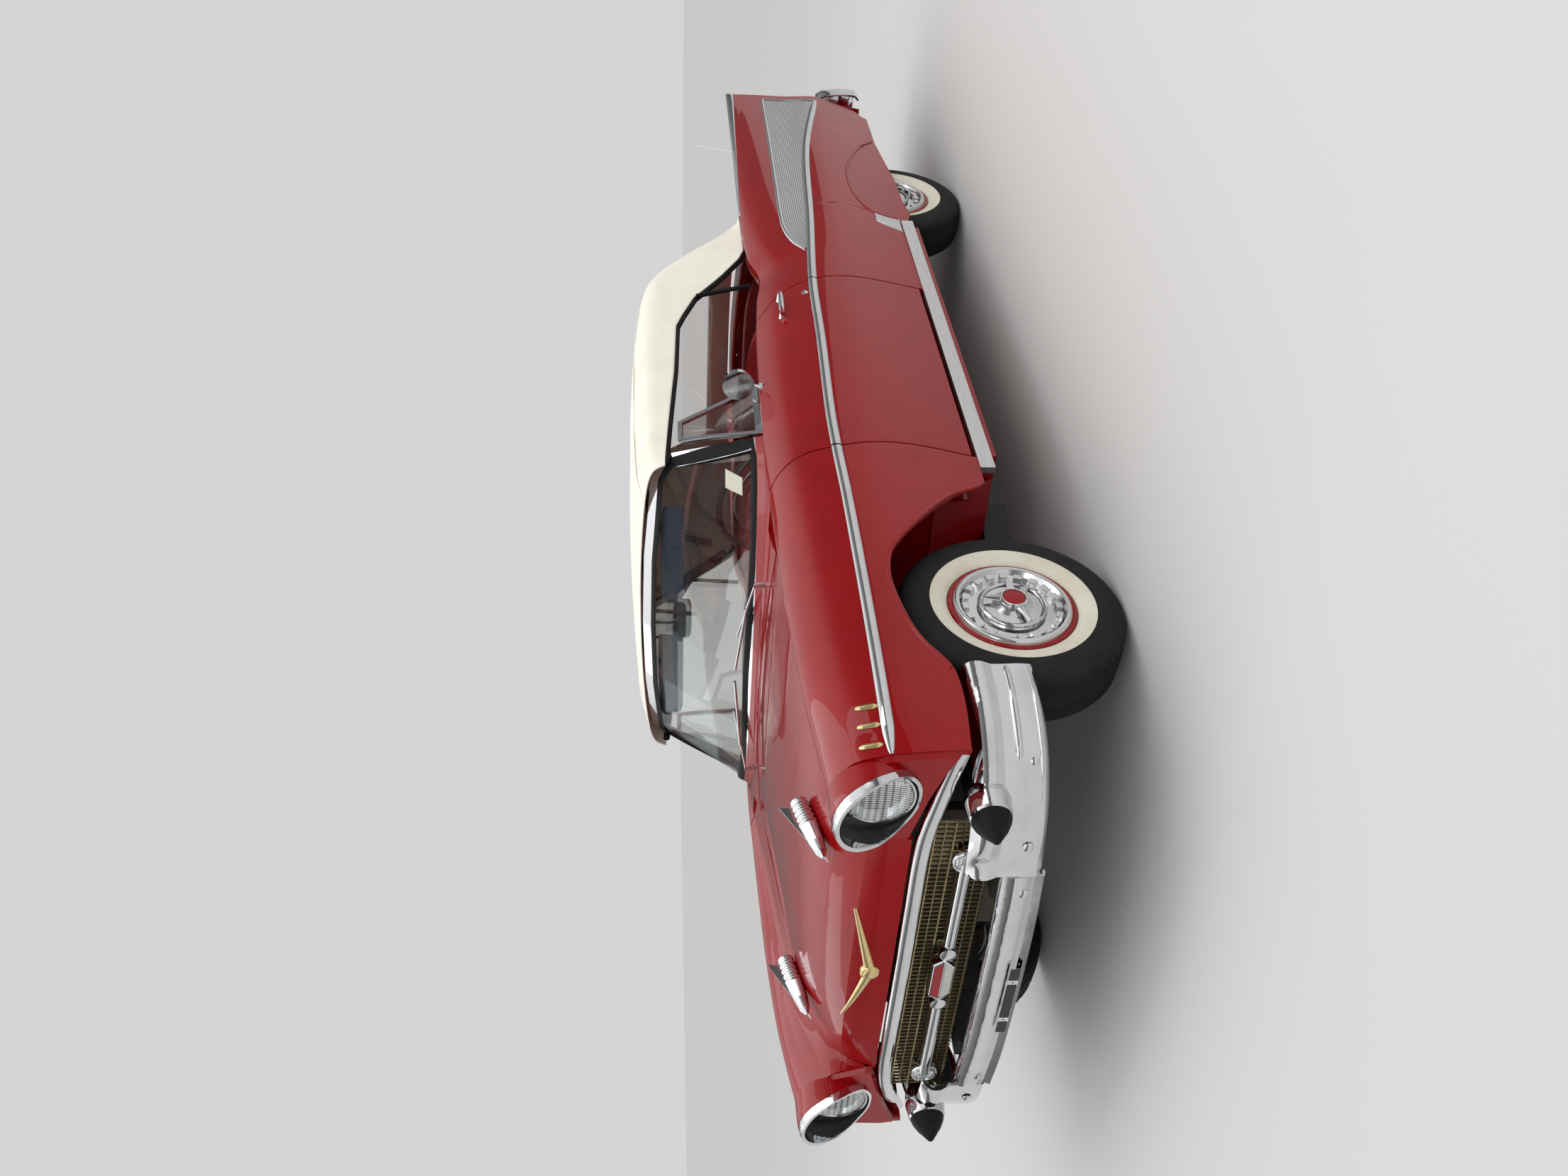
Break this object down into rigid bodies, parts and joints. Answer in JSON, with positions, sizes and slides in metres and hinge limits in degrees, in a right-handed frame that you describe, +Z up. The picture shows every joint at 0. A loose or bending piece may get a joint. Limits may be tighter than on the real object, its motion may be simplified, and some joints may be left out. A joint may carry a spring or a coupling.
{
  "type": "1950s two-door convertible car",
  "caption": "Full-size two-door convertible with a raised cream soft top, tail fins, wrapped windscreen, mesh grille, chrome bumpers with guard cones, skirted rear wheels and white-wall tyres.",
  "frame": {"origin": "on the ground under the middle of the whole car", "axes": "+Y towards the tail along the car, +X towards the left side, +Z up; the front faces -Y"},
  "size_m": [1.8782, 5.0817, 1.5],
  "materials": {
    "body_paint": "deep gloss red",
    "chrome_trim": "polished",
    "gilt_metal": "polished gilt",
    "frame_black": "satin black",
    "iron": "dark",
    "tyre_rubber": "with a white wall",
    "black_rubber": "matt",
    "clear_glass": "clear, faint green",
    "lamp_glass": "ribbed",
    "red_lens": "clear red",
    "top_cloth": "cream cloth",
    "clear_vinyl": "clear",
    "seat_vinyl": "red",
    "wheel_metal": "polished cover on a red rim",
    "aluminium_trim": "ribbed",
    "black_plastic": "ribbed"
  },
  "bodies": {
    "car_body": {"chassis_frame": "frame_black", "floor_pan": "body_paint", "inner_fenders": "frame_black", "engine_and_driveline": "iron", "rear_axle": "frame_black", "front_suspension": "frame_black", "exhaust_system": "iron", "fuel_tank": "frame_black", "front_fender_left": "body_paint", "front_fender_right": "body_paint", "quarter_left": "body_paint", "quarter_right": "body_paint", "fender_skirts": "body_paint", "cowl": "body_paint", "front_bumper": "chrome_trim", "bullet_tips": "black_rubber", "grille": "gilt_metal", "headlamp_bezels": "chrome_trim", "headlamp_lenses": "lamp_glass", "tail_panel": "body_paint", "rocker_mouldings": "aluminium_trim", "rear_bumper": "chrome_trim", "tail_lamps": "red_lens", "windscreen_frame": "chrome_trim", "windscreen_glass": "clear_glass", "soft_top": "top_cloth", "rear_window": "clear_vinyl", "top_frame": "frame_black", "dashboard": "body_paint", "front_seat": "seat_vinyl", "rear_seat": "seat_vinyl", "wipers": "chrome_trim", "aerials": "chrome_trim", "visors_and_mirror": "black_plastic"},
    "hood_lid": {"hood": "body_paint", "hood_ornaments": "chrome_trim"},
    "left_door": {"door_left": "body_paint", "vent_window_left": "chrome_trim", "door_mirror": "chrome_trim"},
    "right_door": {"door_right": "body_paint", "vent_window_right": "chrome_trim"},
    "deck": {"deck_lid": "body_paint"},
    "left_knuckle": {"knuckle_left": "iron"},
    "right_knuckle": {"knuckle_right": "iron"},
    "front_left_wheel": {"tyre_front_left": "tyre_rubber", "wheel_front_left": "wheel_metal"},
    "front_right_wheel": {"tyre_front_right": "tyre_rubber", "wheel_front_right": "wheel_metal"},
    "rear_left_wheel": {"tyre_rear_left": "tyre_rubber", "wheel_rear_left": "wheel_metal"},
    "rear_right_wheel": {"tyre_rear_right": "tyre_rubber", "wheel_rear_right": "wheel_metal"},
    "steering": {"steering_wheel": "black_plastic"}
  },
  "joints": [
    {"name": "steer_left", "type": "hinge", "parent": "car_body", "child": "left_knuckle", "pos_m": [0.66, -1.73, 0.338], "axis": [0, 0, 1], "range_deg": [-33, 33]},
    {"name": "steer_right", "type": "hinge", "parent": "car_body", "child": "right_knuckle", "pos_m": [-0.66, -1.73, 0.338], "axis": [0, 0, 1], "range_deg": [-33, 33]},
    {"name": "steering_wheel_turn", "type": "hinge", "parent": "car_body", "child": "steering", "pos_m": [0.37, -0.54, 0.965], "axis": [0, 0.8854, 0.4648], "range_deg": [-660, 660]},
    {"name": "left_door_swing", "type": "hinge", "parent": "car_body", "child": "left_door", "pos_m": [0.915, -1.13, 0.65], "axis": [0, 0, -1], "range_deg": [0, 65]},
    {"name": "right_door_swing", "type": "hinge", "parent": "car_body", "child": "right_door", "pos_m": [-0.915, -1.13, 0.65], "axis": [0, 0, 1], "range_deg": [0, 65]},
    {"name": "hood_lift", "type": "hinge", "parent": "car_body", "child": "hood_lid", "pos_m": [0, -1.2215, 1.032], "axis": [-1, 0, 0], "range_deg": [0, 50]},
    {"name": "deck_lift", "type": "hinge", "parent": "car_body", "child": "deck", "pos_m": [0, 1.2835, 1.036], "axis": [1, 0, 0], "range_deg": [0, 60]},
    {"name": "front_left_spin", "type": "hinge", "parent": "left_knuckle", "child": "front_left_wheel", "pos_m": [0.7365, -1.73, 0.338], "axis": [1, 0, 0], "continuous": true},
    {"name": "front_right_spin", "type": "hinge", "parent": "right_knuckle", "child": "front_right_wheel", "pos_m": [-0.7365, -1.73, 0.338], "axis": [1, 0, 0], "continuous": true},
    {"name": "rear_left_spin", "type": "hinge", "parent": "car_body", "child": "rear_left_wheel", "pos_m": [0.747, 1.191, 0.338], "axis": [1, 0, 0], "continuous": true},
    {"name": "rear_right_spin", "type": "hinge", "parent": "car_body", "child": "rear_right_wheel", "pos_m": [-0.747, 1.191, 0.338], "axis": [1, 0, 0], "continuous": true}
  ],
  "couplings": [
    {"joint": "steer_right", "follows": "steer_left", "ratio": 1},
    {"joint": "steering_wheel_turn", "follows": "steer_left", "ratio": 20}
  ]
}
